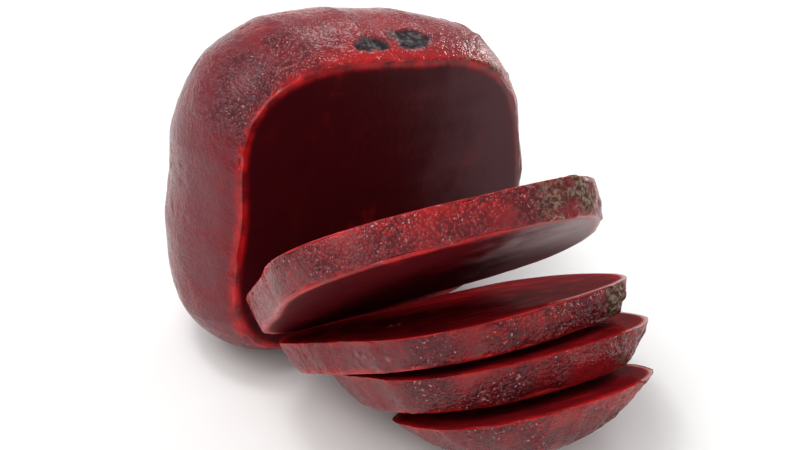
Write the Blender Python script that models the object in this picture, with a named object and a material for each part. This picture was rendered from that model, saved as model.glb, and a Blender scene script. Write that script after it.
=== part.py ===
"""A part-sliced beetroot: the standing root and the four slices cut from its front.

Metres, +Z up. The slices have tipped towards -Y, the uncut back of the root points to +Y, and the
crown is on top. The origin is the middle of the whole object's box, at the surface it stands on.
"""

import math

import bmesh
import bpy
import numpy as np
from mathutils import Matrix, Vector
from mathutils.bvhtree import BVHTree

# The root's outline in the plane of the cut, and how round that outline has become at the front end
CUT_HALF_WIDTH = 0.0324
CUT_HALF_HEIGHT = 0.0284
CUT_SQUARENESS = 3.6
FRONT_SQUARENESS = 1.8
OUTLINE_LOBE_SIDE = 0.052
OUTLINE_LOBE_TOP = -0.02

# The standing root, from the cut back to its rounded end, and how round its outline has become there
BODY_DEPTH = 0.0450
BACK_SQUARENESS = 2.1
BODY_WIDEST_DEPTH = 0.0143
BODY_ROUNDNESS = 1.9
BODY_LEAN_DEG = -6.0
BODY_ROLL_DEG = 3.8
FLAT_SPOT_DEPTH = 0.0012

# The sliced front of the root, which goes on from the same outline to the front end
FRONT_ROUNDNESS = 2.25
FRONT_WIDEST_SETBACK = 0.0025

# One value per slice, from the cut face forwards. A slice leans its top forwards, turns about the
# upright and rolls in its own plane. Its foot, the back of its lowest edge, stands this far in front
# of the cut face's foot, and its middle this far to the side of the root's middle.
SLICE_THICKNESS = (0.0079, 0.0071, 0.0081, 0.0109)
SLICE_LEAN_DEG = (43.0, 57.8, 59.0, 59.2)
SLICE_TURN_DEG = (-7.0, -8.5, -9.3, -6.9)
SLICE_ROLL_DEG = (-11.5, 14.0, 2.8, 0.0)
SLICE_FOOT_OUT = (0.001, 0.0, 0.0075, 0.0230)
SLICE_OFFSET_X = (-0.0094, 0.0018, 0.0042, 0.0042)

# What a slice keeps from the pieces that it rests against
SLICE_GAP = 0.0003

# Fineness of the faceted solids, and of the search for where a slice comes to rest
OUTLINE_POINTS = 48
BODY_RINGS = 16
RIM_RINGS = 3
CAP_RINGS = 7
SEARCH_STEPS = 24

# Linear colour and roughness of the wet flesh, and the angle past which an edge is a cut edge
BODY_COLOUR = (0.16, 0.028, 0.034)
SLICE_COLOUR = (0.13, 0.012, 0.020)
WET_ROUGHNESS = 0.28
CUT_EDGE_DEG = 40.0


def remove_scene_objects():
    """Empty the scene that the script opens in."""
    for item in list(bpy.data.objects):
        bpy.data.objects.remove(item, do_unlink=True)


def flesh_material(name, colour):
    """One wet, non-metallic finish."""
    material = bpy.data.materials.new(name)
    material.use_nodes = True
    shader = material.node_tree.nodes["Principled BSDF"]
    shader.inputs["Base Color"].default_value = (*colour, 1.0)
    shader.inputs["Roughness"].default_value = WET_ROUGHNESS
    shader.inputs["Metallic"].default_value = 0.0
    return material


def root_outline(squareness):
    """The outline at the cut's size, in X and Z: a superellipse with a slight three-lobed swell."""
    angle = np.linspace(0.0, 2.0 * math.pi, OUTLINE_POINTS, endpoint=False)
    across = np.abs(np.cos(angle)) / CUT_HALF_WIDTH
    upward = np.abs(np.sin(angle)) / CUT_HALF_HEIGHT
    radius = (across**squareness + upward**squareness) ** (-1.0 / squareness)
    radius *= 1.0 + OUTLINE_LOBE_SIDE * np.cos(3.0 * angle) + OUTLINE_LOBE_TOP * np.sin(3.0 * angle)
    return np.stack([radius * np.cos(angle), radius * np.sin(angle)], axis=1)


def end_scale(depth, widest, end, roundness):
    """How large the outline is at a depth from the cut, where 1 is its size at the cut itself."""
    here = 1.0 - abs((depth - widest) / (end - widest)) ** roundness
    at_cut = 1.0 - abs(widest / (end - widest)) ** roundness
    return (max(here, 0.0) / at_cut) ** (1.0 / roundness)


def rounded_depths(start, widest, end, count):
    """Depths from start to just short of a round end, spaced evenly round the end's arc."""
    first = math.asin((start - widest) / (end - widest))
    arc = np.linspace(first, math.pi / 2.0, count + 1)[:-1]
    return widest + (end - widest) * np.sin(arc)


def ring_at(outline, y, scale):
    """The outline, scaled, in the plane of one y."""
    return [Vector((x * scale, y, z * scale)) for x, z in outline]


def body_ring(depth):
    """The standing root's outline at a depth behind the cut, which is at y = 0."""
    squareness = CUT_SQUARENESS + (BACK_SQUARENESS - CUT_SQUARENESS) * depth / BODY_DEPTH
    scale = end_scale(depth, BODY_WIDEST_DEPTH, BODY_DEPTH, BODY_ROUNDNESS)
    return ring_at(root_outline(squareness), depth, scale)


def front_ring(depth, y):
    """The sliced front's outline at a depth in front of the cut, put in the plane of y."""
    end = sum(SLICE_THICKNESS)
    squareness = CUT_SQUARENESS + (FRONT_SQUARENESS - CUT_SQUARENESS) * depth / end
    scale = end_scale(depth, -FRONT_WIDEST_SETBACK, end, FRONT_ROUNDNESS)
    return ring_at(root_outline(squareness), y, scale)


def lofted_mesh(name, rings, pole):
    """A closed skin over rings of points: flat at the first ring, and flat or pointed at the last."""
    shell = bmesh.new()
    loops = [[shell.verts.new(point) for point in ring] for ring in rings]
    for near, far in zip(loops, loops[1:]):
        for i in range(OUTLINE_POINTS):
            j = (i + 1) % OUTLINE_POINTS
            shell.faces.new((near[i], near[j], far[j], far[i]))
    shell.faces.new(loops[0])
    if pole is None:
        shell.faces.new(loops[-1])
    else:
        tip = shell.verts.new(pole)
        for i in range(OUTLINE_POINTS):
            shell.faces.new((loops[-1][i], loops[-1][(i + 1) % OUTLINE_POINTS], tip))
    bmesh.ops.recalc_face_normals(shell, faces=shell.faces)
    mesh = bpy.data.meshes.new(name)
    shell.to_mesh(mesh)
    shell.free()
    return mesh


def body_mesh():
    """The standing root in its own axes: its cut face at y = 0 and its round end at y = BODY_DEPTH."""
    depths = rounded_depths(0.0, BODY_WIDEST_DEPTH, BODY_DEPTH, BODY_RINGS)
    rings = [body_ring(depth) for depth in depths]
    return lofted_mesh("beetroot_body", rings, Vector((0.0, BODY_DEPTH, 0.0)))


def slice_mesh(index):
    """One slice in its own axes: its back cut face at y = 0 and its front towards -Y."""
    start = sum(SLICE_THICKNESS[:index])
    thickness = SLICE_THICKNESS[index]
    if index + 1 < len(SLICE_THICKNESS):
        depths = start + np.linspace(0.0, thickness, RIM_RINGS + 1)
        pole = None
    else:
        depths = rounded_depths(start, -FRONT_WIDEST_SETBACK, start + thickness, CAP_RINGS)
        pole = Vector((0.0, -thickness, 0.0))
    rings = [front_ring(depth, start - depth) for depth in depths]
    return lofted_mesh(f"slice_{index + 1}", rings, pole)


def turned(lean_deg, turn_deg, roll_deg):
    """A rotation that rolls a piece in its own plane, leans its top to -Y, then turns it about Z."""
    roll = Matrix.Rotation(math.radians(roll_deg), 4, "Y")
    lean = Matrix.Rotation(math.radians(lean_deg), 4, "X")
    turn = Matrix.Rotation(math.radians(turn_deg), 4, "Z")
    return turn @ lean @ roll


def placed_body(mesh):
    """The body's place, sunk by the flat spot's depth, with what is below the surface cut off."""
    matrix = turned(BODY_LEAN_DEG, 0.0, BODY_ROLL_DEG)
    lowest_z = min((matrix @ vertex.co).z for vertex in mesh.vertices)
    matrix = Matrix.Translation((0.0, 0.0, -lowest_z - FLAT_SPOT_DEPTH)) @ matrix
    inverse = matrix.inverted()
    shell = bmesh.new()
    shell.from_mesh(mesh)
    bmesh.ops.bisect_plane(
        shell,
        geom=[*shell.verts, *shell.edges, *shell.faces],
        plane_co=inverse @ Vector((0.0, 0.0, 0.0)),
        plane_no=inverse.to_3x3() @ Vector((0.0, 0.0, -1.0)),
        clear_outer=True,
    )
    open_edges = [edge for edge in shell.edges if edge.is_boundary]
    bmesh.ops.holes_fill(shell, edges=open_edges, sides=0)
    bmesh.ops.recalc_face_normals(shell, faces=shell.faces)
    shell.to_mesh(mesh)
    shell.free()
    return matrix


def cut_face_foot(matrix):
    """The y of the cut face's lowest point, where the face meets the surface."""
    ring = [matrix @ point for point in body_ring(0.0)]
    return min(ring, key=lambda point: point.z).y


def world_tree(mesh, matrix):
    """A search tree over a placed mesh, with its corners and edge middles."""
    corners = [matrix @ vertex.co for vertex in mesh.vertices]
    faces = [tuple(polygon.vertices) for polygon in mesh.polygons]
    middles = [(corners[a] + corners[b]) / 2.0 for a, b in (edge.vertices for edge in mesh.edges)]
    return BVHTree.FromPolygons(corners, faces), corners + middles


def is_clear(mesh, matrix, others):
    """Whether a placed slice keeps its gap to every other piece, everywhere."""
    tree, points = world_tree(mesh, matrix)
    for other_tree, other_points in others:
        if tree.overlap(other_tree):
            return False
        if min(other_tree.find_nearest(point)[3] for point in points) < SLICE_GAP:
            return False
        if min(tree.find_nearest(point)[3] for point in other_points) < SLICE_GAP:
            return False
    return True


def standing_place(mesh, turn, index, cut_foot):
    """A turned slice on the surface, its foot standing in front of the cut face's foot."""
    corners = [turn @ vertex.co for vertex in mesh.vertices]
    foot_y = max(corner.y for corner in corners)
    lowest_z = min(corner.z for corner in corners)
    y = cut_foot - SLICE_FOOT_OUT[index] - foot_y
    return Matrix.Translation((SLICE_OFFSET_X[index], y, -lowest_z)) @ turn


def lowered_slice(mesh, index, cut_foot, others):
    """A slice's place: let down until it rests on the surface or on another piece."""
    turn = turned(SLICE_LEAN_DEG[index], SLICE_TURN_DEG[index], SLICE_ROLL_DEG[index])
    standing = standing_place(mesh, turn, index, cut_foot)
    if is_clear(mesh, standing, others):
        return standing
    blocked = 0.0
    clear = 2.0 * CUT_HALF_HEIGHT
    for _ in range(SEARCH_STEPS):
        middle = (blocked + clear) / 2.0
        if is_clear(mesh, Matrix.Translation((0.0, 0.0, middle)) @ standing, others):
            clear = middle
        else:
            blocked = middle
    return Matrix.Translation((0.0, 0.0, clear)) @ standing


def add_piece(mesh, matrix, colour, parent):
    """One named piece with its own finish, shaded smooth except at its cut edges."""
    mesh.materials.append(flesh_material(mesh.name, colour))
    mesh.shade_smooth()
    mesh.set_sharp_from_angle(angle=math.radians(CUT_EDGE_DEG))
    piece = bpy.data.objects.new(mesh.name, mesh)
    piece.matrix_world = matrix
    piece.parent = parent
    bpy.context.collection.objects.link(piece)


def centre_on_origin(parent, placed):
    """Move the parent so that the whole box is centred over the origin and stands on z = 0."""
    points = np.array([matrix @ vertex.co for mesh, matrix in placed for vertex in mesh.vertices])
    low = points.min(axis=0)
    high = points.max(axis=0)
    parent.location = (-(low[0] + high[0]) / 2.0, -(low[1] + high[1]) / 2.0, -low[2])


def build():
    """Stand the body, then let the slices down from the front end back, each onto the last."""
    remove_scene_objects()
    mesh = body_mesh()
    matrix = placed_body(mesh)
    placed = [(mesh, matrix)]
    others = [world_tree(mesh, matrix)]
    cut_foot = cut_face_foot(matrix)
    for index in reversed(range(len(SLICE_THICKNESS))):
        mesh = slice_mesh(index)
        matrix = lowered_slice(mesh, index, cut_foot, others)
        placed.append((mesh, matrix))
        others.append(world_tree(mesh, matrix))
    whole = bpy.data.objects.new("beetroot", None)
    bpy.context.collection.objects.link(whole)
    for mesh, matrix in placed:
        colour = BODY_COLOUR if mesh.name == "beetroot_body" else SLICE_COLOUR
        add_piece(mesh, matrix, colour, whole)
    centre_on_origin(whole, placed)


build()
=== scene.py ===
# %% [markdown]
# # A part-sliced beetroot
#
# A cooked, peeled beetroot stands on a small flat spot with its front cut into four slices, which have
# tipped forwards. Everything here was once one root, so this file first describes that whole root: its
# outline, its swelling and the marks that the peeling knife left. Each piece is then only a stretch of
# the same root, turned to where it lies. That way a facet on the standing part runs on through the rims
# of the slices, as it does on the real thing.

# %% Load the fixed frame
import math

import bpy
import numpy as np
from mathutils import Matrix, Vector


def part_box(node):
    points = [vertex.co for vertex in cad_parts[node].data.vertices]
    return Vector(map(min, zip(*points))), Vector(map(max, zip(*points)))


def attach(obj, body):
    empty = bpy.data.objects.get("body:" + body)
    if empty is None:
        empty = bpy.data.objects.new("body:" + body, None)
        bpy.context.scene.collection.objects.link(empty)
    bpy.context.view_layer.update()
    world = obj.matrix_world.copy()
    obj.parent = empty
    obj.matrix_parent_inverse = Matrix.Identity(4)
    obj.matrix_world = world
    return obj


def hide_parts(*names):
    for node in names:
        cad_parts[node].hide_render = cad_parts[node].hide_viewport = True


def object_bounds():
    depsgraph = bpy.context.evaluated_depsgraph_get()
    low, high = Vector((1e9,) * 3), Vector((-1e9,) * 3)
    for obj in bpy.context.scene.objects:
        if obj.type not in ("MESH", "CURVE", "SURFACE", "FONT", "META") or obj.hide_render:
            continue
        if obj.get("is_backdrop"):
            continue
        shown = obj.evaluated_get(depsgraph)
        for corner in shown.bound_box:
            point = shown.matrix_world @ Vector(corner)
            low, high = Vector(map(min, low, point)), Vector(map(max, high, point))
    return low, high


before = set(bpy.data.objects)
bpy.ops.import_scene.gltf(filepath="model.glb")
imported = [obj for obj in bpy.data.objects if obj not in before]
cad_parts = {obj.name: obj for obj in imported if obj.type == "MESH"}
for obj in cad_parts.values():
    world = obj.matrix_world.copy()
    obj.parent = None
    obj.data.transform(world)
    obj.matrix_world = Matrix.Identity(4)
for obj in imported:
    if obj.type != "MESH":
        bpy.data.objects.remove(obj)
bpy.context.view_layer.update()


# %% [markdown]
# ## The whole root
#
# Seen along its axis, a root that has been trimmed square is neither round nor a box. A superellipse
# gives every step between the two: its power is 2 for an oval and larger for squarer corners. Three soft
# lobes take away the perfect symmetry. Along the axis the outline shrinks to nothing at each end by
# another superellipse, so that the ends close roundly and have no point.

# %% The root's driving sizes, in metres, the same as the frame's
CUT_HALF_WIDTH = 0.0324
CUT_HALF_HEIGHT = 0.0284
CUT_SQUARENESS = 3.6
FRONT_SQUARENESS = 1.8
BACK_SQUARENESS = 2.1
LOBE_SIDE = 0.052
LOBE_TOP = -0.02
BODY_DEPTH = 0.0450
BODY_WIDEST_DEPTH = 0.0143
BODY_ROUNDNESS = 1.9
FRONT_ROUNDNESS = 2.25
FRONT_WIDEST_SETBACK = 0.0025
SLICE_THICKNESS = (0.0079, 0.0071, 0.0081, 0.0109)
FRONT_DEPTH = sum(SLICE_THICKNESS)
print(f"The uncut root was {1000 * (BODY_DEPTH + FRONT_DEPTH):.0f} mm long")


# %% The root as a function of an angle round its axis and a distance along it
def end_scale(depth, widest, end, roundness):
    """The outline's size: a superellipse from its widest place to the end, where 1 is the size at the cut."""
    here = 1.0 - np.abs((depth - widest) / (end - widest)) ** roundness
    at_cut = 1.0 - abs(widest / (end - widest)) ** roundness
    return (np.maximum(here, 0.0) / at_cut) ** (1.0 / roundness)


def root_radius(angle, along):
    """How far the skin is from the axis. along is 0 at the cut, negative forwards, positive backwards.

    The radius is the superellipse's, times one plus a three-lobed cosine and sine, times the end scale.
    """
    back = along >= 0.0
    share = np.where(back, along / BODY_DEPTH, -along / FRONT_DEPTH)
    end_squareness = np.where(back, BACK_SQUARENESS, FRONT_SQUARENESS)
    squareness = CUT_SQUARENESS + (end_squareness - CUT_SQUARENESS) * share
    across = np.abs(np.cos(angle)) / CUT_HALF_WIDTH
    upward = np.abs(np.sin(angle)) / CUT_HALF_HEIGHT
    radius = (across**squareness + upward**squareness) ** (-1.0 / squareness)
    radius = radius * (1.0 + LOBE_SIDE * np.cos(3.0 * angle) + LOBE_TOP * np.sin(3.0 * angle))
    behind = end_scale(np.maximum(along, 0.0), BODY_WIDEST_DEPTH, BODY_DEPTH, BODY_ROUNDNESS)
    before = end_scale(np.maximum(-along, 0.0), -FRONT_WIDEST_SETBACK, FRONT_DEPTH, FRONT_ROUNDNESS)
    return radius * np.where(back, behind, before)


# %% [markdown]
# ## Uneven flesh
#
# Nothing that grew is smooth, and random numbers alone would look like sand. The usual cure is lattice
# noise: random numbers stand at the corners of a grid of cells, and a place between them takes a blend
# of the eight corners round it. The cell's size is then the size of the lumps. Worked out as whole
# arrays, it costs little even for a hundred thousand points, and a fixed seed gives the same root again.

# %% Lattice noise
LATTICE = 32


def lumps(place, cell, seed):
    """Smooth random values from -1 to 1: eight lattice corners blended by an S-shaped share per axis."""
    lattice = np.random.default_rng(seed).uniform(-1.0, 1.0, (LATTICE, LATTICE, LATTICE))
    where = np.asarray(place) / cell
    corner = np.floor(where).astype(int)
    share = where - corner
    share = share * share * (3.0 - 2.0 * share)
    total = np.zeros(where.shape[:-1])
    for step in np.ndindex(2, 2, 2):
        index = (corner + step) % LATTICE
        weight = np.prod(np.where(np.array(step) == 1, share, 1.0 - share), axis=-1)
        total += weight * lattice[index[..., 0], index[..., 1], index[..., 2]]
    return total


def smooth_step(low, high, value):
    """0 below low, 1 above high, and an S-shaped rise between."""
    share = np.clip((value - low) / (high - low), 0.0, 1.0)
    return share * share * (3.0 - 2.0 * share)


# %% [markdown]
# ## Marks of the knife, the crown and the skin
#
# Peeling leaves long flat facets that run the length of the root and meet in soft ridges. Between two
# ridges the flesh sits a little inside the round outline, deepest half way, which a parabola gives. The
# facets bend a little as they go, so the ridges' angles wander with the distance along the root.
#
# Some places have a look of their own, and each kind gets a mask, a value from 0 to 1 at every point.
# The crown's leaf stalks left two dark scars on top. A strip of corky skin was missed along the right
# side, with a woody knob in it. The flesh is coarse and granular along the upper shoulders, where the
# peel tore away. On top and to the right the flesh is a brighter red: partly where the knife went
# deeper, partly painted light where the top is lit. Marks that are laid out by angle would meet in a
# star at the round end, so they fade out near the axis. Last come a few beads: a crumb of flesh and
# some drops of juice.

# %% A kind of lump
def bumps(place, kind):
    """One kind of lump. A kind is its strength, its cell in metres and the seed of its noise."""
    strength, cell, seed = kind
    return strength * lumps(place, cell, seed)


# %% Facets
FACET_ANGLES_DEG = np.array([-172, -150, -118, -92, -60, -31, -6, 17, 39, 62, 88, 111, 131, 158, 179])
FACET_SINK = 0.00042
FACET_USUAL_DEG = 25.0
FACET_WIDTH_POWER = 1.5
RIDGE_WANDER = (7.0, 0.022, 11)
RIDGE_STRETCH = (0.25, 1.0, 0.25)
AXIS_FADE = (0.004, 0.021)


def angle_gap(angle_deg, centre_deg):
    """The smallest turn between two angles, in degrees."""
    return np.abs((angle_deg - centre_deg + 180.0) % 360.0 - 180.0)


def off_axis(place):
    """0 on the root's axis and 1 well away from it, so that marks laid out by angle fade at the end."""
    return smooth_step(*AXIS_FADE, np.hypot(place[..., 0], place[..., 2]))


def facet_sink(angle, place):
    """How deep the flesh sits inside the round outline: a parabola between each pair of ridges."""
    wander = bumps(place * RIDGE_STRETCH, RIDGE_WANDER)
    degrees = (np.degrees(angle) + wander + 180.0) % 360.0 - 180.0
    after = np.searchsorted(FACET_ANGLES_DEG, degrees) % len(FACET_ANGLES_DEG)
    start = FACET_ANGLES_DEG[after - 1]
    width = (FACET_ANGLES_DEG[after] - start) % 360.0
    share = ((degrees - start) % 360.0) / width
    parabola = 4.0 * share * (1.0 - share)
    return FACET_SINK * parabola * (width / FACET_USUAL_DEG) ** FACET_WIDTH_POWER * off_axis(place)


# %% Scars: x, along, half the width and half the length of each
SCAR_PLACES = ((0.0002, 0.0042, 0.0042, 0.0019), (0.0096, 0.0054, 0.0054, 0.0028))
SCAR_EDGE = (1.15, 0.75)
SCAR_RAGGED = (0.35, 0.0016, 21)
SCAR_WAVY = (0.25, 0.0035, 22)


def scar_mask(place):
    """Two ragged ovals on top, just behind the cut: 1 inside, 0 outside."""
    ragged = bumps(place, SCAR_RAGGED) + bumps(place, SCAR_WAVY)
    mask = np.zeros(place.shape[:-1])
    for x, along, half_x, half_along in SCAR_PLACES:
        reach = np.hypot((place[..., 0] - x) / half_x, (place[..., 1] - along) / half_along)
        mask = np.maximum(mask, smooth_step(*SCAR_EDGE, reach + ragged))
    return mask * (place[..., 2] > 0.0)


# %% The knob and the corky strip
KNOB_PLACE = np.array([0.0195, -0.0105, 0.0222])
KNOB_REACH = np.array([0.0036, 0.0034, 0.0036])
KNOB_HEIGHT = 0.00125
KNOB_CRUMBS = (0.00075, 0.0014, 46)
KNOB_SHOWS = (0.00015, 0.00050)
CORK_CENTRE_DEG = 34.0
CORK_HALF_WIDTH_DEG = 27.0
CORK_NARROWS_DEG = 9.0
CORK_NARROWS_OVER = (0.0, 0.003)
CORK_SOLID_SHARE = 0.4
CORK_PATCHES = (0.6, 0.0045, 31)
CORK_SPECKS = (0.4, 0.0016, 32)
CORK_BREAK = (-0.30, 0.30)


def knob_height(place):
    """A woody side root, cut short: a crumbly lump that fades like a bell curve."""
    reach = np.linalg.norm((place - KNOB_PLACE) / KNOB_REACH, axis=-1)
    return np.exp(-(reach**2)) * (KNOB_HEIGHT + bumps(place, KNOB_CRUMBS))


def cork_mask(angle, place):
    """Corky skin that the peeler missed: a strip along the right side, broken into patches."""
    half_width = CORK_HALF_WIDTH_DEG - CORK_NARROWS_DEG * smooth_step(*CORK_NARROWS_OVER, place[..., 1])
    gap = angle_gap(np.degrees(angle), CORK_CENTRE_DEG)
    strip = smooth_step(half_width, half_width * CORK_SOLID_SHARE, gap) * off_axis(place)
    broken = bumps(place, CORK_PATCHES) + bumps(place, CORK_SPECKS)
    knob = smooth_step(*KNOB_SHOWS, knob_height(place))
    return np.maximum(strip * smooth_step(*CORK_BREAK, broken), knob)


# %% Torn, granular flesh
LEFT_SHOULDER_DEG = 124.0
LEFT_SHOULDER_FADE = (36.0, 14.0)
CORNER_DEG = 132.0
CORNER_FADE = (24.0, 10.0)
RIGHT_SHOULDER_DEG = 64.0
RIGHT_SHOULDER_FADE = (42.0, 16.0)
RIGHT_SHOULDER_SHARE = 0.8
SLICES_ONLY = (0.0008, 0.0)
GRAIN_REACH = (0.016, 0.008)
GRAIN_USUAL = 0.55
GRAIN_PATCHES = (0.9, 0.0055, 41)


def grain_mask(angle, place):
    """Granular flesh: along both shoulders of the slices, and at one corner of the standing root."""
    degrees = np.degrees(angle)
    on_slices = smooth_step(*SLICES_ONLY, place[..., 1])
    left = smooth_step(*LEFT_SHOULDER_FADE, angle_gap(degrees, LEFT_SHOULDER_DEG)) * on_slices
    right = smooth_step(*RIGHT_SHOULDER_FADE, angle_gap(degrees, RIGHT_SHOULDER_DEG)) * on_slices
    corner = smooth_step(*CORNER_FADE, angle_gap(degrees, CORNER_DEG))
    strongest = np.maximum(np.maximum(left, corner), RIGHT_SHOULDER_SHARE * right)
    patches = GRAIN_USUAL + bumps(place, GRAIN_PATCHES)
    return np.clip(strongest * patches * smooth_step(*GRAIN_REACH, place[..., 1]), 0.0, 1.0)


# %% Deep peeling, partly painted light
DEEP_PEEL_AND_LIT_DEG = 72.0
DEEP_PEEL_AND_LIT_FADE = (72.0, 26.0)
DEEP_PEEL_AND_LIT_USUAL = 0.75
DEEP_PEEL_AND_LIT_PATCHES = (0.7, 0.0090, 45)


def deep_peel_and_lit_mask(angle, place):
    """Brighter red on top and to the right: partly where the knife went deeper, partly painted light on the
    lit top.
    """
    top = smooth_step(*DEEP_PEEL_AND_LIT_FADE, angle_gap(np.degrees(angle), DEEP_PEEL_AND_LIT_DEG)) * off_axis(place)
    return np.clip(top * (DEEP_PEEL_AND_LIT_USUAL + bumps(place, DEEP_PEEL_AND_LIT_PATCHES)), 0.0, 1.0)


# %% Beads: a crumb in two parts on the second slice's upper face, then drops of juice on its rim
BEAD_PLACES = (
    (-0.0182, -0.0079, 0.0032),
    (-0.0170, -0.0079, 0.0042),
    (-0.0291, -0.0107, 0.0067),
    (-0.0290, -0.0112, 0.0088),
    (-0.0278, -0.0120, 0.0144),
)
BEAD_REACH = 0.00055
BEAD_HEIGHT = 0.00055
BEAD_SHOWS = (0.00008, 0.00040)


def bead_height(place):
    """Small domes on the surface, each a bell curve round its place."""
    height = np.zeros(place.shape[:-1])
    for centre in BEAD_PLACES:
        reach = np.linalg.norm(place - np.array(centre), axis=-1) / BEAD_REACH
        height = np.maximum(height, BEAD_HEIGHT * np.exp(-(reach**2)))
    return height


# %% [markdown]
# ## The relief
#
# The masks also have a shape: a scar is a shallow pit with a swollen lip, cork stands up in crumbs, and
# coarse flesh is covered in granules a millimetre or two across. All of it is added as real height along
# the surface, because a wet surface shows its shape by its glints, and bump alone leaves a smooth
# outline. The cut faces stay almost flat: the blade leaves only a slow wave and faint drag lines.

# %% Heights on the skin
SLOW_SWELL = (0.00015, 0.0060, 51)
SMALL_SWELL = (0.00007, 0.0021, 52)
GRANULE_SHAPE = (1.0, 0.00092, 53)
GRANULE_HEIGHT = 0.00005
TORN_GRANULE_HEIGHT = 0.00016
LARGE_GRANULES = (0.00013, 0.0017, 57)
PIT_SHAPE = (1.0, 0.0016, 54)
PIT_EDGE = (0.6, 0.85)
PIT_DEPTH = 0.00018
CORK_CRUMBS = (0.00035, 0.0018, 55)
CORK_HEIGHT = 0.00016
SCAR_CRUMBS = (0.00030, 0.0012, 56)
SCAR_DEPTH = 0.00035
SCAR_LIP_HEIGHT = 0.00025
SKIN_SETTLE = 0.00012


def skin_relief(angle, place):
    """The skin's height over the round root, in metres: facets, lumps, granules, cork and scars."""
    grain = grain_mask(angle, place)
    scar = scar_mask(place)
    height = -facet_sink(angle, place)
    height += bumps(place, SLOW_SWELL) + bumps(place, SMALL_SWELL)
    height += (GRANULE_HEIGHT + TORN_GRANULE_HEIGHT * grain) * bumps(place, GRANULE_SHAPE)
    height += grain * bumps(place, LARGE_GRANULES)
    height += knob_height(place)
    height -= PIT_DEPTH * smooth_step(*PIT_EDGE, bumps(place, PIT_SHAPE))
    height += cork_mask(angle, place) * (CORK_HEIGHT + bumps(place, CORK_CRUMBS))
    height += scar * (bumps(place, SCAR_CRUMBS) - SCAR_DEPTH)
    height += SCAR_LIP_HEIGHT * smooth_step(0.0, 0.5, scar) * smooth_step(1.0, 0.5, scar)
    return height - SKIN_SETTLE


# %% Heights on a cut face
BLADE_WAVE = (0.00010, 0.0090, 61)
DRAG_LINES = (0.000010, 0.0014, 62)
CUT_GRAIN = (0.000012, 0.0010, 63)
DRAG_STRETCH = (1.0, 0.0, 0.12)
IN_THE_FACE = (1.0, 0.0, 1.0)
CUT_SETTLE = 0.00010


def cut_relief(place):
    """A cut face's height, in metres: the blade's slow wave, its drag lines and the flesh's fine grain."""
    height = bumps(place * IN_THE_FACE, BLADE_WAVE) + bumps(place * DRAG_STRETCH, DRAG_LINES)
    return height + bumps(place, CUT_GRAIN) - CUT_SETTLE


# %% [markdown]
# ## One mesh for each piece
#
# Each piece is a profile carried round the root's axis. The profile starts in the middle of one face,
# runs out to the edge, round a small wet lip, along the skin, and back in, or on to the rounded end. On
# a grid of profile steps by angles every corner is worked out at once, and the two ends of the grid are
# closed with a point each. The same grid gives the outward direction, from the cross product of its two
# tangents, and the relief moves each corner along it.
#
# Every corner also remembers its place in the uncut root. The finishes read that place instead of where
# the piece lies now, so their grain follows the flesh wherever a slice has fallen.

# %% Profiles
ANGLE_STEPS = 560
FACE_STEPS = 56
LIP_STEPS = 5
LIP_RADIUS = 0.00075


def face_profile(depth):
    """From the middle of a flat face to its lip: the share of the way out rises, at one depth."""
    share = np.linspace(0.0, 1.0, FACE_STEPS + 1)[1:]
    return share, np.full(FACE_STEPS, LIP_RADIUS), np.full(FACE_STEPS, depth)


def lip_profile(depth, direction):
    """A quarter circle from a face onto the skin; direction is the sign that depth goes in."""
    turn = np.linspace(0.0, math.pi / 2.0, LIP_STEPS + 1)[1:]
    inset = LIP_RADIUS * (1.0 - np.sin(turn))
    return np.ones(LIP_STEPS), inset, depth + direction * LIP_RADIUS * (1.0 - np.cos(turn))


def skin_profile(depths):
    """Along the skin, at the depths given."""
    return np.ones(len(depths)), np.zeros(len(depths)), depths


def rounded_depths(start, widest, end, steps):
    """Depths from start to just short of a round end, evenly round the end's arc."""
    first = math.asin((start - widest) / (end - widest))
    arc = np.linspace(first, math.pi / 2.0, steps + 2)[1:-1]
    return widest + (end - widest) * np.sin(arc)


def joined(*parts):
    """Several stretches of profile, one after the other."""
    return [np.concatenate(values) for values in zip(*parts)]


# %% The grid and its outward direction
SHORTEST = 1e-12


def grid_directions(grid):
    """Unit directions out of a closed grid: the cross product of the tangents along and round it."""
    round_it = np.roll(grid, -1, axis=1) - np.roll(grid, 1, axis=1)
    along_it = np.gradient(grid, axis=0)
    out = np.cross(along_it, round_it)
    length = np.linalg.norm(out, axis=-1, keepdims=True)
    return out / np.maximum(length, SHORTEST)


def root_grid(share, inset, along):
    """Corners in the uncut root: the radius less the lip's inset, times the share of the way out."""
    angle = np.linspace(-math.pi, math.pi, ANGLE_STEPS, endpoint=False)[None, :]
    along = along[:, None] * np.ones_like(angle)
    radius = (root_radius(angle, along) - inset[:, None]) * share[:, None]
    place = np.stack([radius * np.cos(angle), along, radius * np.sin(angle)], axis=-1)
    return place, np.broadcast_to(angle, radius.shape)


# %% The whole piece, with its relief and its masks
EDGE_FADE = 0.0013
EDGE_DROOP = 0.00022
NICK_DEPTH = 0.00055
SMALL_NICKS = (1.0, 0.0028, 71)
SMALL_NICK_SHOWS = (-0.1, 0.7)
LONG_NICKS = (1.0, 0.0062, 72)
LONG_NICK_SHOWS = (0.1, 0.6)
SKIN_STARTS = (0.85, 0.0)
FACES_FORWARD = (0.3, 0.8)
UNDERSIDE_STARTS = -0.5
VEIL_AND_SHEEN_REACH = 0.0075
VEIL_AND_SHEEN_STARTS = (0.15, 0.75)


def nearness_to_edges(place, angle, face_depths):
    """1 at a cut edge, falling by an exponential with the way along the skin or in across the face."""
    rim = root_radius(angle, place[..., 1])
    to_rim = np.maximum(rim - np.hypot(place[..., 0], place[..., 2]) - LIP_RADIUS, 0.0)
    gaps = [np.abs(place[..., 1] - face) + to_rim for face in face_depths]
    return np.exp(-np.minimum.reduce(gaps) / EDGE_FADE)


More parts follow.
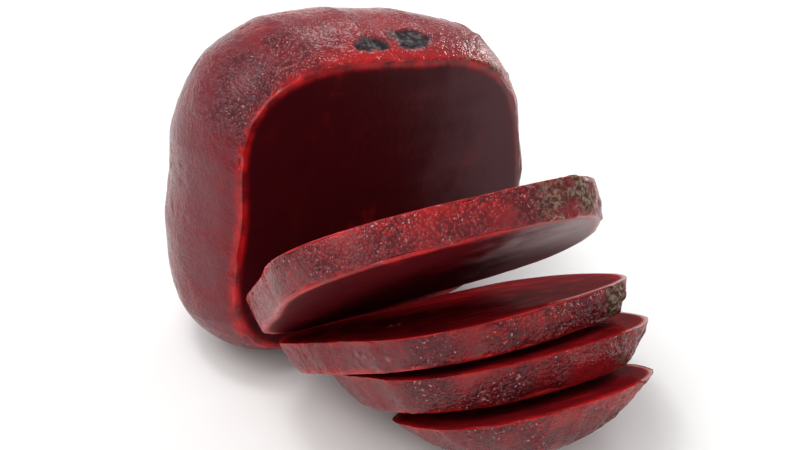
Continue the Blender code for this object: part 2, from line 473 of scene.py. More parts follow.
def piece_shape(share, inset, along, face_depths, tip):
    """A piece's corners in the uncut root, the same with relief, and the values that the finish reads."""
    place, angle = root_grid(share, inset, along)
    on_skin = smooth_step(*SKIN_STARTS, inset / LIP_RADIUS)[:, None] * np.ones(place.shape[:2])
    out = grid_directions(place)
    middle = len(share) // 2
    if (out[middle] * place[middle] * IN_THE_FACE).sum() < 0.0:
        out = -out
    edge = nearness_to_edges(place, angle, face_depths)
    nicks = smooth_step(*SMALL_NICK_SHOWS, bumps(place, SMALL_NICKS))
    nicks += smooth_step(*LONG_NICK_SHOWS, bumps(place, LONG_NICKS))
    skin_height = skin_relief(angle, place) - NICK_DEPTH * edge * nicks
    cut_height = cut_relief(place) - EDGE_DROOP * edge
    beads = bead_height(place) * (out[..., 1] > UNDERSIDE_STARTS)
    height = on_skin * skin_height + (1.0 - on_skin) * cut_height + beads
    values = {
        "skin": on_skin,
        "edge": edge,
        "cork": on_skin * cork_mask(angle, place),
        "grain": on_skin * grain_mask(angle, place),
        "scar": on_skin * scar_mask(place),
        "bright": on_skin * deep_peel_and_lit_mask(angle, place),
        "bead": smooth_step(*BEAD_SHOWS, beads),
        # Faces that look forwards: their coat, and their painted shade and painted sheen in the colour, go by
        # this.
        "forward_face": (1.0 - on_skin) * smooth_step(*FACES_FORWARD, -out[..., 1]),
        # Grows with the way from the first cut: the grey there is partly the skin's own, partly painted sheen
        # from the pale floor.
        "veil_and_sheen_growth": smooth_step(*VEIL_AND_SHEEN_STARTS, np.abs(place[..., 1] - face_depths[0]) / VEIL_AND_SHEEN_REACH),
    }
    ends = [np.array([0.0, along[0], 0.0]), np.array([0.0, tip, 0.0])]
    return place, place + out * height[..., None], values, ends


# %% Into Blender
def turned(lean_deg, turn_deg, roll_deg):
    """A rotation: roll in the piece's own plane, lean the top forwards, then turn about the upright."""
    roll = Matrix.Rotation(math.radians(roll_deg), 3, "Y")
    lean = Matrix.Rotation(math.radians(lean_deg), 3, "X")
    turn = Matrix.Rotation(math.radians(turn_deg), 3, "Z")
    return np.array(turn @ lean @ roll)


def closed_faces(rings):
    """Quads between neighbouring rings of the grid, as corner numbers, and the two end fans."""
    first = np.arange(rings - 1)[:, None] * ANGLE_STEPS
    here = np.arange(ANGLE_STEPS)[None, :]
    beside = (here + 1) % ANGLE_STEPS
    after = first + ANGLE_STEPS
    quads = np.stack([first + here, first + beside, after + beside, after + here], axis=-1)
    last = (rings - 1) * ANGLE_STEPS
    start_pole, end_pole = rings * ANGLE_STEPS, rings * ANGLE_STEPS + 1
    near = np.stack([np.full(ANGLE_STEPS, start_pole), beside[0], here[0]], axis=-1)
    far = np.stack([np.full(ANGLE_STEPS, end_pole), last + here[0], last + beside[0]], axis=-1)
    return quads.reshape(-1, 4), np.concatenate([near, far])


def mesh_object(name, corners, quads, triangles, values, root_place):
    """A named mesh object with the finish's values stored on its corners, facing outwards."""
    mesh = bpy.data.meshes.new(name)
    mesh.from_pydata(corners.tolist(), [], quads.tolist() + triangles.tolist())
    for key, value in values.items():
        mesh.attributes.new(key, "FLOAT", "POINT").data.foreach_set("value", value.astype(np.float32))
    stored = mesh.attributes.new("root_place", "FLOAT_VECTOR", "POINT")
    stored.data.foreach_set("vector", root_place.astype(np.float32).ravel())
    mesh.shade_smooth()
    mesh.update()
    piece = bpy.data.objects.new(name, mesh)
    bpy.context.scene.collection.objects.link(piece)
    return piece


# %% [markdown]
# ## Setting a piece down
#
# A piece is turned by the same angles as its plain solid in the frame. It is then moved until the box
# of its smooth shape, before any relief, has the same middle as the solid's box. The standing root was
# cut off flat at the surface, so its box is matched at the top, and what would be below the surface is
# pressed up to it, which makes the small flat spot that it stands on.

# %% Place a shape on its node
ON_THE_SURFACE = 1e-4


def settled(shape, node, angles):
    """The relief's corners and ends in the frame: turned, moved onto the node's box, none below 0."""
    place, relief, _, ends = shape
    rotation = turned(*angles)
    axis_shift = np.array([0.0, -place[0, 0, 1], 0.0])
    smooth = (place.reshape(-1, 3) + axis_shift) @ rotation.T
    low, high = (np.array(corner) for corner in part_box(node))
    move = (low + high) / 2.0 - (smooth.min(0) + smooth.max(0)) / 2.0
    if low[2] < ON_THE_SURFACE:
        move[2] = high[2] - smooth[:, 2].max()
    corners = np.concatenate([relief.reshape(-1, 3), ends]) + axis_shift
    corners = corners @ rotation.T + move
    corners[:, 2] = np.maximum(corners[:, 2], 0.0)
    return corners


def with_ends(value):
    """A mask at the grid's corners and at the two end points, which take the mean of the ring beside them."""
    return np.append(value.ravel(), (value[0].mean(), value[-1].mean()))


def make_piece(name, node, shape, angles):
    """Build one piece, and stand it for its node."""
    place, relief, values, ends = shape
    corners = settled(shape, node, angles)
    rings = place.shape[0]
    quads, triangles = closed_faces(rings)
    a, b, c = (corners[quads[:, i]] for i in range(3))
    inside = corners.mean(0)
    if (np.cross(b - a, c - b) * (a - inside)).sum() < 0.0:
        quads = quads[:, ::-1]
        triangles = triangles[:, ::-1]
    masks = {key: with_ends(value) for key, value in values.items()}
    root_place = np.concatenate([place.reshape(-1, 3), ends])
    piece = mesh_object(name, corners, quads, triangles, masks, root_place)
    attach(piece, "root")
    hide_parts(node)
    print(name, "has", len(quads) * 2 + len(triangles), "triangles")
    return piece


# %% [markdown]
# ## The standing root
#
# This is the uncut back of the beetroot. Its profile runs from the middle of the one cut face over the
# lip and then back along the skin to the round end, with steps that stay about half a millimetre long
# so that the granules have corners to stand on.

# %% The body
BODY_ANGLES = (-6.0, 0.0, 3.8)
BODY_SKIN_STEPS = 98

body_profile = joined(
    face_profile(0.0),
    lip_profile(0.0, 1.0),
    skin_profile(rounded_depths(LIP_RADIUS, BODY_WIDEST_DEPTH, BODY_DEPTH, BODY_SKIN_STEPS)),
)
body_shape = piece_shape(*body_profile, face_depths=(0.0,), tip=BODY_DEPTH)
body = make_piece("standing_root", "beetroot_body", body_shape, BODY_ANGLES)

# %% [markdown]
# ## The slices
#
# A slice has two cut faces with a rim of skin between them. The last one is the root's front end, so it
# has a single cut face and a dome. They lie like fallen books, each a little flatter than the one
# behind it, and the angles are those of the frame's solids.

# %% Three slices and the front end
SLICE_LEAN_DEG = (43.0, 57.8, 59.0, 59.2)
SLICE_TURN_DEG = (-7.0, -8.5, -9.3, -6.9)
SLICE_ROLL_DEG = (-11.5, 14.0, 2.8, 0.0)
RIM_STEPS = 20
DOME_STEPS = 70


def slice_shape(index):
    """A slice's shape: face, lip, rim, lip and face, or face, lip and dome for the front end."""
    start = -sum(SLICE_THICKNESS[:index])
    end = start - SLICE_THICKNESS[index]
    if index == len(SLICE_THICKNESS) - 1:
        depths = -rounded_depths(-start + LIP_RADIUS, -FRONT_WIDEST_SETBACK, FRONT_DEPTH, DOME_STEPS)
        profile = joined(face_profile(start), lip_profile(start, -1.0), skin_profile(depths))
        return piece_shape(*profile, face_depths=(start,), tip=end)
    rim = np.linspace(start - LIP_RADIUS, end + LIP_RADIUS, RIM_STEPS + 2)[1:-1]
    front = [value[::-1] for value in joined(face_profile(end), lip_profile(end, 1.0))]
    profile = joined(face_profile(start), lip_profile(start, -1.0), skin_profile(rim), front)
    return piece_shape(*profile, face_depths=(start, end), tip=end)


slices = []
for number in range(len(SLICE_THICKNESS)):
    angles = (SLICE_LEAN_DEG[number], SLICE_TURN_DEG[number], SLICE_ROLL_DEG[number])
    name = "front_end" if number == len(SLICE_THICKNESS) - 1 else f"cut_slice_{number + 1}"
    slices.append(make_piece(name, f"slice_{number + 1}", slice_shape(number), angles))


# %% [markdown]
# ## Effects that both finishes share
#
# The standing root and the slices are the same flesh, so the parts of the finish that they share are
# node groups, each built once. One gives painted glints: pale specks painted where light would glint on
# juice between the granules. One gives the granules themselves, as the rounded cells of a cell pattern.
# One gives the soft streaks that fibres make along the root. One gives the rings that a beetroot grows, a
# band of colour for each season of leaves, bent a little by noise.

# %% Helpers for node trees
def new_group(name, inputs, output):
    """A shader node group with named inputs and one output; returns the tree, its inlet and its outlet."""
    group = bpy.data.node_groups.new(name, "ShaderNodeTree")
    for title, kind, value in inputs:
        socket = group.interface.new_socket(title, in_out="INPUT", socket_type=kind)
        if value is not None:
            socket.default_value = value
    group.interface.new_socket(output, in_out="OUTPUT", socket_type="NodeSocketFloat")
    return group, group.nodes.new("NodeGroupInput"), group.nodes.new("NodeGroupOutput")


def fill(tree, socket, value):
    """Link a socket to another socket, or set it to a value."""
    if isinstance(value, bpy.types.NodeSocket):
        tree.links.new(value, socket)
    else:
        socket.default_value = value


def put(tree, kind, settings=None, **inputs):
    """A node with its settings made and its inputs filled; _2 stands for the input with number 2."""
    node = tree.nodes.new(kind)
    for key, value in (settings or {}).items():
        setattr(node, key, value)
    for key, value in inputs.items():
        fill(tree, node.inputs[int(key[1:])] if key[0] == "_" else node.inputs[key], value)
    return node


def math_node(tree, operation, first, second=0.0):
    """The result of one sum on sockets or numbers."""
    return put(tree, "ShaderNodeMath", {"operation": operation}, _0=first, _1=second).outputs[0]


def times(tree, *values):
    """All the values multiplied together."""
    result = values[0]
    for value in values[1:]:
        result = math_node(tree, "MULTIPLY", result, value)
    return result


def plus(tree, *values):
    """All the values added up."""
    result = values[0]
    for value in values[1:]:
        result = math_node(tree, "ADD", result, value)
    return result


def rise(tree, value, low, high):
    """A smooth rise from 0 at low to 1 at high."""
    settings = {"interpolation_type": "SMOOTHSTEP"}
    return put(tree, "ShaderNodeMapRange", settings, _0=value, _1=low, _2=high).outputs[0]


def blend(tree, share, first, second):
    """A colour between two, by a share. A mix node takes its colours at 6 and 7 and gives one at 2."""
    return put(tree, "ShaderNodeMix", {"data_type": "RGBA"}, _0=share, _6=first, _7=second).outputs[2]


def noise_node(tree, place, scale, detail, roughness):
    """Noise from 0 to 1; scale is in lumps per metre."""
    inputs = {"Vector": place, "Scale": scale, "Detail": detail, "Roughness": roughness}
    return put(tree, "ShaderNodeTexNoise", **inputs).outputs[0]


def stretched(tree, place, shares):
    """A place with each axis multiplied by its own share."""
    return put(tree, "ShaderNodeVectorMath", {"operation": "MULTIPLY"}, _0=place, _1=shares).outputs[0]


PLACE_INPUT = ("Place", "NodeSocketVector", None)

# %% Painted glints
SPECKS_PER_METRE = 1500.0
SPECK_DETAIL = (1.0, 0.4)
SPECK_CLUSTERS = (420.0, 2.0, 0.5)
SPECK_CLUSTER_SHARE = 0.35
SPECK_PATCH_SHARE = 0.12
SPECK_PEAKS = (0.93, 1.02)


def painted_glints_group():
    """Where glints are painted: small ragged specks, the peaks of a fine noise, kept to the clusters of a
    coarser one and a patch.
    """
    scale_input = ("Scale", "NodeSocketFloat", SPECKS_PER_METRE)
    patch_input = ("Patch", "NodeSocketFloat", 1.0)
    group, inlet, outlet = new_group("Painted glints", (PLACE_INPUT, scale_input, patch_input), "Mask")
    place, scale, patch = inlet.outputs[0], inlet.outputs[1], inlet.outputs[2]
    fine = noise_node(group, place, scale, *SPECK_DETAIL)
    clusters = times(group, noise_node(group, place, *SPECK_CLUSTERS), SPECK_CLUSTER_SHARE)
    level = plus(group, fine, clusters, times(group, patch, SPECK_PATCH_SHARE))
    group.links.new(rise(group, level, *SPECK_PEAKS), outlet.inputs[0])
    return group


# %% Granules
GRANULES_PER_METRE = 1500.0
GRANULE_BEND_SCALE = 700.0
GRANULE_BEND_DETAIL = 2.0
GRANULE_BEND = (0.0011, 0.0011, 0.0011)
GRANULE_FALL = (0.75, 0.05)


def granules_group():
    """Rounded granules: high in the middle of each cell of a cell pattern, falling to a crevice, in 3-D.

    Noise bends the cells, so that no two are alike.
    """
    scale_input = ("Scale", "NodeSocketFloat", GRANULES_PER_METRE)
    group, inlet, outlet = new_group("Granules", (PLACE_INPUT, scale_input), "Height")
    place, scale = inlet.outputs[0], inlet.outputs[1]
    bend = {"Vector": place, "Scale": GRANULE_BEND_SCALE, "Detail": GRANULE_BEND_DETAIL}
    noise = put(group, "ShaderNodeTexNoise", **bend).outputs["Color"]
    add = {"operation": "MULTIPLY_ADD"}
    moved = put(group, "ShaderNodeVectorMath", add, _0=noise, _1=GRANULE_BEND, _2=place).outputs[0]
    cells = put(group, "ShaderNodeTexVoronoi", Vector=moved, Scale=scale)
    group.links.new(rise(group, cells.outputs["Distance"], *GRANULE_FALL), outlet.inputs[0])
    return group


# %% Fibre streaks
STREAKS_PER_METRE = 210.0
STREAK_STRETCH = (1.0, 0.16, 0.55)
STREAK_DETAIL = (3.0, 0.55)
STREAK_SHOWS = (0.38, 0.66)


def fibre_streaks_group():
    """Noise drawn out along one axis, so that it makes long soft streaks."""
    scale_input = ("Scale", "NodeSocketFloat", STREAKS_PER_METRE)
    group, inlet, outlet = new_group("Fibre streaks", (PLACE_INPUT, scale_input), "Mask")
    drawn = stretched(group, inlet.outputs[0], STREAK_STRETCH)
    streak = noise_node(group, drawn, inlet.outputs[1], *STREAK_DETAIL)
    group.links.new(rise(group, streak, *STREAK_SHOWS), outlet.inputs[0])
    return group


# %% Growth rings
RING_WIDTH = 0.0062
RING_STRETCH = (0.92, 0.0, 1.08)
RING_BEND = (110.0, 2.0, 0.5)
RING_BEND_REACH = 0.006
RING_SHOWS = (-0.3, 1.0)


def growth_rings_group():
    """Rings round the root's axis: the sine of the distance to it, bent by noise."""
    group, inlet, outlet = new_group("Growth rings", (PLACE_INPUT,), "Mask")
    flat = stretched(group, inlet.outputs[0], RING_STRETCH)
    reach = put(group, "ShaderNodeVectorMath", {"operation": "LENGTH"}, _0=flat).outputs["Value"]
    bend = times(group, noise_node(group, inlet.outputs[0], *RING_BEND), RING_BEND_REACH)
    wave = math_node(group, "SINE", times(group, plus(group, reach, bend), 2.0 * math.pi / RING_WIDTH))
    group.links.new(rise(group, wave, *RING_SHOWS), outlet.inputs[0])
    return group


painted_glints = painted_glints_group()
granules = granules_group()
fibre_streaks = fibre_streaks_group()
growth_rings = growth_rings_group()
print("Groups:", ", ".join(group.name for group in (painted_glints, granules, fibre_streaks, growth_rings)))

# %% [markdown]
# ## Wet beetroot flesh
#
# Cooked beetroot is a deep wine red that light enters a little way, so thin edges glow brighter than
# the faces. The cut flesh has rings, streaks and flecks. Where a cut face looks forwards it is darkened
# by painted shade, and a pale painted sheen lies along its right. The peeled outside is duller and
# greyer: a streaky greyness, partly its own and partly painted sheen, grows with the way from the
# piece's first cut, and is thin where the red is brighter, on top and to the right. Near a cut edge all
# of it turns a clear bright red, a painted glow of the light through the thin flesh, less so to the
# right. Darker patches, painted shade in the crevices, painted glints, cork and scars lie over that in
# turn.
#
# A coat stands for the film of juice. It follows the granules as the flesh does, because a thin film
# does not level them, and so a wet root sparkles in clusters where its flesh is coarse. On the skin and
# the cut edges the film is strong. On a face that looks forwards it is thin and dull. The other faces,
# cork and scars have next to none.

# %% Reading the masks
MASK_NAMES = ("skin", "edge", "cork", "grain", "scar", "bright", "bead", "forward_face", "veil_and_sheen_growth")


def attribute(tree, name, output):
    """A value stored on the mesh; the output is Fac for a number and Vector for a place."""
    return put(tree, "ShaderNodeAttribute", {"attribute_name": name}).outputs[output]


def grouped(tree, group, *inputs):
    """A node group placed in a material, with its inputs linked or set."""
    node = put(tree, "ShaderNodeGroup", {"node_tree": group})
    for socket, value in zip(node.inputs, inputs):
        fill(tree, socket, value)
    return node.outputs[0]


def patches(tree, place, kind):
    """Ragged patches: one kind of noise that shows between two levels. A kind is its noise and levels."""
    noise, levels = kind
    return rise(tree, noise_node(tree, place, *noise), *levels)


# %% The colour of a cut face
MOTTLE = (130.0, 4.0, 0.6)
RINGS_BY_MOTTLE = (0.35, 0.75)
RING_SHARE = 0.35
MOTTLE_SHARE = 0.55
FRONT_FACE_SHADE = (1.35, 0.0)
CUT_FLECK = (0.210, 0.0060, 0.0080, 1.0)
FLECK_PATCHES = ((75.0, 5.0, 0.7), (0.56, 0.72))
FLECK_SHARE = 0.7
PAINTED_SHEEN_RAGGED = 0.022
PAINTED_SHEEN_STARTS = (0.016, 0.040)
PAINTED_SHEEN_SHARE = 0.85


def cut_colour(tree, place, at, look):
    """Dark to light by rings and mottle, darker on a front face by painted shade, then flecks, then a pale
    painted sheen on the right of a front face.
    """
    rings = times(tree, grouped(tree, growth_rings, place), rise(tree, at["mottle"], *RINGS_BY_MOTTLE))
    light = plus(tree, times(tree, rings, RING_SHARE), times(tree, at["mottle"], MOTTLE_SHARE))
    # Painted shade: a cut face that looks forwards and down is darkened, as it lies in shade.
    light = times(tree, light, rise(tree, at["forward_face"], *FRONT_FACE_SHADE))
    colour = blend(tree, light, look["cut_dark"], look["cut_light"])
    flecks = times(tree, patches(tree, place, FLECK_PATCHES), FLECK_SHARE)
    colour = blend(tree, flecks, colour, CUT_FLECK)
    # Painted sheen: a pale patch on the right of a face that looks forwards, where it would reflect the
    # bright floor.
    sheen_edge = plus(tree, at["x"], times(tree, at["mottle"], PAINTED_SHEEN_RAGGED))
    sheen_mask = times(tree, at["forward_face"], rise(tree, sheen_edge, *PAINTED_SHEEN_STARTS), PAINTED_SHEEN_SHARE)
    return blend(tree, sheen_mask, colour, look["painted_sheen_pale"])


# %% The colour of the peeled outside
BRIGHT_RED = (0.40, 0.011, 0.011, 1.0)
VEIL_AND_SHEEN_STREAKS = (0.35, 1.35)
VEIL_AND_SHEEN_GROWS = (-0.45, 1.0)
VEIL_AND_SHEEN_OVER_BRIGHT = (1.6, 0.0)
BARE_AND_LIT_FADE = (1.7, 0.2)
FINE_SHOWS = (0.45, 0.7)
FINE_SHARE = 0.35


def outside_colour(tree, place, at, look):
    """The skin's red, brighter on top and to the right by deep peeling and painted light, under streaky grey
    of its own and painted sheen that grows off the cut.
    """
    streaks = grouped(tree, fibre_streaks, place, STREAKS_PER_METRE)
    # Streaky grey, partly the skin's own and partly painted sheen, growing off the first cut.
    veil_and_sheen = times(tree, rise(tree, plus(tree, streaks, at["mottle"]), *VEIL_AND_SHEEN_STREAKS), look["veil_and_sheen_share"])
    veil_and_sheen = times(tree, veil_and_sheen, rise(tree, at["veil_and_sheen_growth"], *VEIL_AND_SHEEN_GROWS))
    veil_and_sheen = times(tree, veil_and_sheen, rise(tree, at["bright"], *VEIL_AND_SHEEN_OVER_BRIGHT))
    # Brighter, barer red on top and to the right: partly the deep peeling, partly painted light on the lit
    # top.
    bare_and_lit = times(tree, at["bright"], rise(tree, at["veil_and_sheen_growth"], *BARE_AND_LIT_FADE))
    colour = blend(tree, bare_and_lit, look["skin_red"], BRIGHT_RED)
    colour = blend(tree, veil_and_sheen, colour, look["skin_veil_and_sheen"])
    fine = times(tree, rise(tree, at["fine"], *FINE_SHOWS), FINE_SHARE)
    return blend(tree, fine, colour, look["cut_light"])


# %% The painted glow of the edges, and the coarse flesh
GLOW_PAINTED_RED = (0.58, 0.010, 0.012, 1.0)
GLOW_PATCHES = ((260.0, 3.0, 0.6), (0.25, 0.70))
GLOW_NEAR_EDGE = (0.22, 0.75)
GLOW_ENDS = (0.038, 0.018)
DARK_PATCH_AND_CREVICE_SHADE = (0.052, 0.0075, 0.0110, 1.0)
DARK_PATCHES = ((620.0, 3.0, 0.7), (0.42, 0.66))
DARK_PATCH_SHARE = 0.7
DARK_PATCH_ON_GRAIN = (-0.15, 0.65)
CREVICE_SHOWS = (0.55, 0.0)
CREVICE_ON_GRAIN = (-0.35, 0.7)
CREVICE_SHARE = 0.75
GLINT_PAINTED_PALE = (0.62, 0.36, 0.36, 1.0)
SPECKS_ON_GRAIN = (0.1, 0.6)
SPECK_SHARE = 0.6
BEAD_SHARE = 0.20


def painted_edge_glow(tree, place, at, look, colour):
    """Painted glow: clear red along the cut edges, where light shines through the thin flesh, uneven, and
    fading out towards the right.
    """
    near = rise(tree, at["edge"], *GLOW_NEAR_EDGE)
    uneven = times(tree, patches(tree, place, GLOW_PATCHES), look["edge_share"])
    # Painted glow: the clear red of light shining through the thin edges, fading towards the right.
    return blend(tree, times(tree, near, uneven, rise(tree, at["x"], *GLOW_ENDS)), colour, GLOW_PAINTED_RED)


def coarsened(tree, place, at, colour):
    """Darker patches on the coarse skin, then painted shade in the crevices between the granules, then
    painted glints on them, and the beads paled by the same painted glint colour.
    """
    # Darker in random patches on the coarse skin.
    shade = times(tree, patches(tree, place, DARK_PATCHES), DARK_PATCH_SHARE)
    shade = times(tree, shade, rise(tree, at["grain"], *DARK_PATCH_ON_GRAIN), at["skin"])
    colour = blend(tree, shade, colour, DARK_PATCH_AND_CREVICE_SHADE)
    # Painted shade: the crevices between the granules are darkened, where shade falls.
    crevice = times(tree, rise(tree, at["pebbles"], *CREVICE_SHOWS), at["skin"], CREVICE_SHARE)
    crevice = times(tree, crevice, rise(tree, at["grain"], *CREVICE_ON_GRAIN))
    colour = blend(tree, crevice, colour, DARK_PATCH_AND_CREVICE_SHADE)
    # Painted glints: pale specks painted on the coarse flesh, where light would glint on the wet granules.
    specks = grouped(tree, painted_glints, place, SPECKS_PER_METRE, at["grain"])
    specks = times(tree, specks, rise(tree, at["grain"], *SPECKS_ON_GRAIN), SPECK_SHARE)
    colour = blend(tree, specks, colour, GLINT_PAINTED_PALE)
    # The beads are paled by the same painted glint colour: a painted highlight on the crumb and the drops.
    return blend(tree, times(tree, at["bead"], BEAD_SHARE), colour, GLINT_PAINTED_PALE)


# %% Cork and scars
CORK_BROWN = (0.060, 0.034, 0.018, 1.0)
CORK_GREY = (0.280, 0.235, 0.185, 1.0)
CORK_GREY_SHOWS = (0.4, 0.65)
CORK_SHARE = 0.8
SCAR_SLATE = (0.026, 0.020, 0.023, 1.0)
SCAR_GREY = (0.105, 0.092, 0.096, 1.0)
SCAR_PATCHES = ((700.0, 3.0, 0.6), (0.42, 0.68))


def crusted(tree, place, at, colour):
    """Cork in brown and grey crumbs, and scars in slate and grey."""
    cork = blend(tree, rise(tree, at["fine"], *CORK_GREY_SHOWS), CORK_BROWN, CORK_GREY)
    colour = blend(tree, times(tree, at["cork"], CORK_SHARE), colour, cork)
    scar = blend(tree, patches(tree, place, SCAR_PATCHES), SCAR_SLATE, SCAR_GREY)
    return blend(tree, at["scar"], colour, scar)


# %% The film of juice, and the bump that both layers share
ROUGH_LEAST = 0.36
ROUGH_MOTTLE = (0.3, 0.7)
ROUGH_BY_MOTTLE = 0.16
ROUGH_ON_SKIN = 0.04
ROUGH_WHEN_DRY = 0.25
WET_NEAR_EDGE = (0.35, 0.80)
COAT_LEAST = 0.04
COAT_ON_SKIN = 0.64
COAT_ON_FRONT = 0.20
COAT_LOST_DRY = -0.60
COAT_ROUGH_LEAST = 0.12
COAT_ROUGH_ON_FRONT = 0.24
COAT_ROUGH_ON_EDGE = -0.05
BUMP_LEAST = 0.05
BUMP_ON_GRAIN = 1.3
BUMP_ON_SKIN = 0.24
BUMP_OFF_EDGE = (1.1, 0.3)
BUMP_STRENGTH = 0.9
BUMP_DISTANCE = 0.00022
PLAIN_VALUES = {
    "Metallic": 0.0,
    "IOR": 1.36,
    "Specular IOR Level": 0.0,
    "Coat IOR": 1.46,
    "Subsurface Weight": 0.18,
    "Subsurface Radius": (1.0, 0.10, 0.06),
    "Subsurface Scale": 0.0022,
}


def film_values(tree, at):
    """The sheen, each value a plain sum of masks with their shares, and the granules as bump."""
    dry = math_node(tree, "MAXIMUM", at["cork"], at["scar"])
    mottled = times(tree, rise(tree, at["mottle"], *ROUGH_MOTTLE), ROUGH_BY_MOTTLE)
    skin_rough = plus(tree, times(tree, at["skin"], ROUGH_ON_SKIN), mottled)
    wet_edge = math_node(tree, "MAXIMUM", at["skin"], rise(tree, at["edge"], *WET_NEAR_EDGE))
    coat = plus(tree, times(tree, wet_edge, COAT_ON_SKIN), COAT_LEAST)
    coat = plus(tree, coat, times(tree, at["forward_face"], COAT_ON_FRONT))
    coat_rough = plus(tree, times(tree, at["forward_face"], COAT_ROUGH_ON_FRONT), COAT_ROUGH_LEAST)
    coarse = plus(tree, times(tree, at["grain"], BUMP_ON_GRAIN), times(tree, at["skin"], BUMP_ON_SKIN))
    coarse = times(tree, coarse, rise(tree, at["edge"], *BUMP_OFF_EDGE))
    height = times(tree, at["pebbles"], plus(tree, coarse, BUMP_LEAST))
    bump = {"Strength": BUMP_STRENGTH, "Distance": BUMP_DISTANCE, "Height": height}
    normal = put(tree, "ShaderNodeBump", **bump).outputs[0]
    return {
        "Roughness": plus(tree, skin_rough, ROUGH_LEAST, times(tree, dry, ROUGH_WHEN_DRY)),
        "Coat Weight": plus(tree, coat, times(tree, dry, COAT_LOST_DRY)),
        "Coat Roughness": plus(tree, coat_rough, times(tree, at["edge"], COAT_ROUGH_ON_EDGE)),
        "Normal": normal,
        "Coat Normal": normal,
    }


# %% The finish
FINE = (1100.0, 2.0, 0.6)


def flesh_finish(name, look):
    """Wet flesh with the colours and shares of one look.

    A cut face lies between cut_dark and cut_light, darker on a front face by painted shade, with a pale
    painted sheen, painted_sheen_pale, over the right of a front face. The outside lies between skin_red and
    skin_veil_and_sheen, a grey partly its own and partly painted sheen, of which there is
    veil_and_sheen_share. The edges have a painted glow by edge_share.
    """
    material = bpy.data.materials.new(name)
    material.use_nodes = True
    tree = material.node_tree
    shader = tree.nodes["Principled BSDF"]
    place = attribute(tree, "root_place", "Vector")
    at = {mask: attribute(tree, mask, "Fac") for mask in MASK_NAMES}
    at["x"] = put(tree, "ShaderNodeSeparateXYZ", _0=place).outputs[0]
    at["mottle"] = noise_node(tree, place, *MOTTLE)
    at["fine"] = noise_node(tree, place, *FINE)
    at["pebbles"] = grouped(tree, granules, place, GRANULES_PER_METRE)
    cut = cut_colour(tree, place, at, look)
    colour = blend(tree, at["skin"], cut, outside_colour(tree, place, at, look))
    colour = painted_edge_glow(tree, place, at, look, colour)
    colour = coarsened(tree, place, at, colour)
    colour = crusted(tree, place, at, colour)
    values = {"Base Color": colour, **film_values(tree, at), **PLAIN_VALUES}
    for title, value in values.items():
        fill(tree, shader.inputs[title], value)
    print(name, "has", len(tree.nodes), "nodes")
    return material


body_look = {
    "cut_dark": (0.038, 0.0022, 0.0042, 1.0),
    "cut_light": (0.240, 0.0065, 0.0095, 1.0),
    "painted_sheen_pale": (0.100, 0.0420, 0.0480, 1.0),
    "skin_red": (0.155, 0.0110, 0.0175, 1.0),
    "skin_veil_and_sheen": (0.132, 0.0350, 0.0430, 1.0),
    "veil_and_sheen_share": 0.65,
    "edge_share": 0.85,
}
# The slices' look is a lighter copy of the body's: a much brighter cut_light, painted light on their upper
# faces, which lie in shade, and a far paler painted_sheen_pale, a stronger painted sheen on the first slice's
# front face.
slice_look_painted_lit = {
    "cut_dark": (0.040, 0.0024, 0.0044, 1.0),
    "cut_light": (0.440, 0.0110, 0.0145, 1.0),
    "painted_sheen_pale": (0.420, 0.3400, 0.3450, 1.0),
    "skin_red": (0.180, 0.0105, 0.0150, 1.0),
    "skin_veil_and_sheen": (0.120, 0.0350, 0.0370, 1.0),
    "veil_and_sheen_share": 0.68,
    "edge_share": 0.75,
}
body.data.materials.append(flesh_finish("body_wet_flesh", body_look))
slice_finish_painted_lit = flesh_finish("slice_wet_flesh_painted_lit", slice_look_painted_lit)
for piece in slices:
    piece.data.materials.append(slice_finish_painted_lit)

# %% [markdown]
# ## Table, light and camera
#
# The beetroot stands on a plain pale surface in soft daylight. A broad window is high, behind and to the
# left, with one small bright pane that gives the sharp glints. The top and the upper faces are lit by
# it, the cut face falls dark and the wet edges catch it. A weaker light fills the front from the left,
# and two small ones at the right give the corky ends of the slices their shape. The plain colour
# transform keeps deep reds deep, where a film-like one would wash them out.

# %% Plain colour
bpy.context.scene.view_settings.view_transform = "Standard"
print("Colours are shown as", bpy.context.scene.view_settings.view_transform)

# %% The pale floor
FLOOR_HALF = 1.5
FLOOR_HEIGHT = -0.0001
FLOOR_PALE = (0.90, 0.90, 0.89, 1.0)
FLOOR_ROUGHNESS = 0.6


def pale_floor():
    """A flat square under the object, with a plain pale finish."""
    mesh = bpy.data.meshes.new("pale_floor")
    signs = ((-1, -1), (1, -1), (1, 1), (-1, 1))
    corners = [(x * FLOOR_HALF, y * FLOOR_HALF, FLOOR_HEIGHT) for x, y in signs]
    mesh.from_pydata(corners, [], [(0, 1, 2, 3)])
    floor = bpy.data.objects.new("pale_floor", mesh)
    bpy.context.scene.collection.objects.link(floor)
    material = bpy.data.materials.new("pale_surface")
    material.use_nodes = True
    shader = material.node_tree.nodes["Principled BSDF"]
    shader.inputs["Base Color"].default_value = FLOOR_PALE
    shader.inputs["Roughness"].default_value = FLOOR_ROUGHNESS
    mesh.materials.append(material)
    floor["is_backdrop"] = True
    print("The floor is", 2.0 * FLOOR_HALF, "m across")


pale_floor()

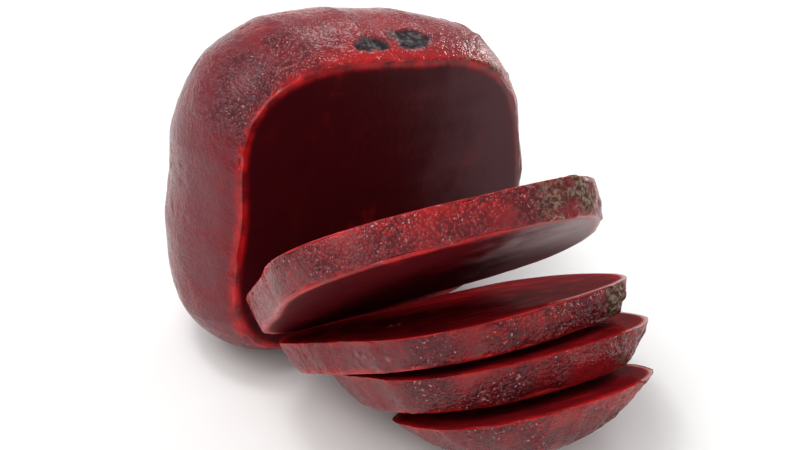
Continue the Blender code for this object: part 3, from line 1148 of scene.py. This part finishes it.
# %% Soft light: name, offset from the object's middle, size in metres, power in watts and colour
MIDDLE = sum(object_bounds(), Vector()) / 2.0
LIGHTS = (
    ("window", (-0.50, 0.26, 1.05), 1.0, 7.5, (1.0, 0.99, 0.97)),
    ("window_pane", (-0.30, 0.26, 1.10), 0.2, 2.2, (1.0, 1.0, 0.99)),
    ("front_left", (-0.60, -0.50, 0.80), 0.9, 4.0, (1.0, 0.99, 0.98)),
    ("back_right", (0.60, 0.58, 0.60), 0.3, 1.2, (1.0, 0.98, 0.96)),
    ("low_right", (0.85, 0.30, 0.10), 0.35, 3.8, (1.0, 0.98, 0.96)),
)
ROOM_COLOUR = (0.95, 0.97, 1.0, 1.0)
ROOM_STRENGTH = 0.55


def soft_light(name, offset, size, power, colour):
    """A square light at an offset from the object's middle, turned towards it."""
    data = bpy.data.lights.new(name, "AREA")
    data.shape = "SQUARE"
    data.size = size
    data.energy = power
    data.color = colour
    light = bpy.data.objects.new(name, data)
    light.location = MIDDLE + Vector(offset)
    light.rotation_euler = (-Vector(offset)).to_track_quat("-Z", "Y").to_euler()
    bpy.context.scene.collection.objects.link(light)


for values in LIGHTS:
    soft_light(*values)

world = bpy.data.worlds.new("soft_room")
world.use_nodes = True
background = world.node_tree.nodes["Background"]
background.inputs["Color"].default_value = ROOM_COLOUR
background.inputs["Strength"].default_value = ROOM_STRENGTH
bpy.context.scene.world = world
print(len(LIGHTS), "lights round", [round(value, 4) for value in MIDDLE])

# %% The camera
CAMERA_TURN_DEG = 34.0
CAMERA_HEIGHT_DEG = 34.0
CAMERA_ROLL_DEG = 2.8
CAMERA_DISTANCE = 0.5
CAMERA_LENS_MM = 117.0
CAMERA_NEAREST = 0.01
CAMERA_AIM = MIDDLE + Vector((0.0029, 0.0033, -0.0031))


def set_camera():
    """Look down at the object from the front left, slightly tipped."""
    turn = math.radians(CAMERA_TURN_DEG)
    height = math.radians(CAMERA_HEIGHT_DEG)
    level = math.cos(height)
    look = Vector((math.sin(turn) * level, math.cos(turn) * level, -math.sin(height)))
    data = bpy.data.cameras.new("camera")
    data.lens = CAMERA_LENS_MM
    data.clip_start = CAMERA_NEAREST
    camera = bpy.data.objects.new("camera", data)
    tip = Matrix.Rotation(math.radians(CAMERA_ROLL_DEG), 4, "Z")
    facing = look.to_track_quat("-Z", "Y").to_matrix().to_4x4()
    camera.matrix_world = Matrix.Translation(CAMERA_AIM - look * CAMERA_DISTANCE) @ facing @ tip
    bpy.context.scene.collection.objects.link(camera)
    bpy.context.scene.camera = camera
    print("The camera's lens is", CAMERA_LENS_MM, "mm")


set_camera()
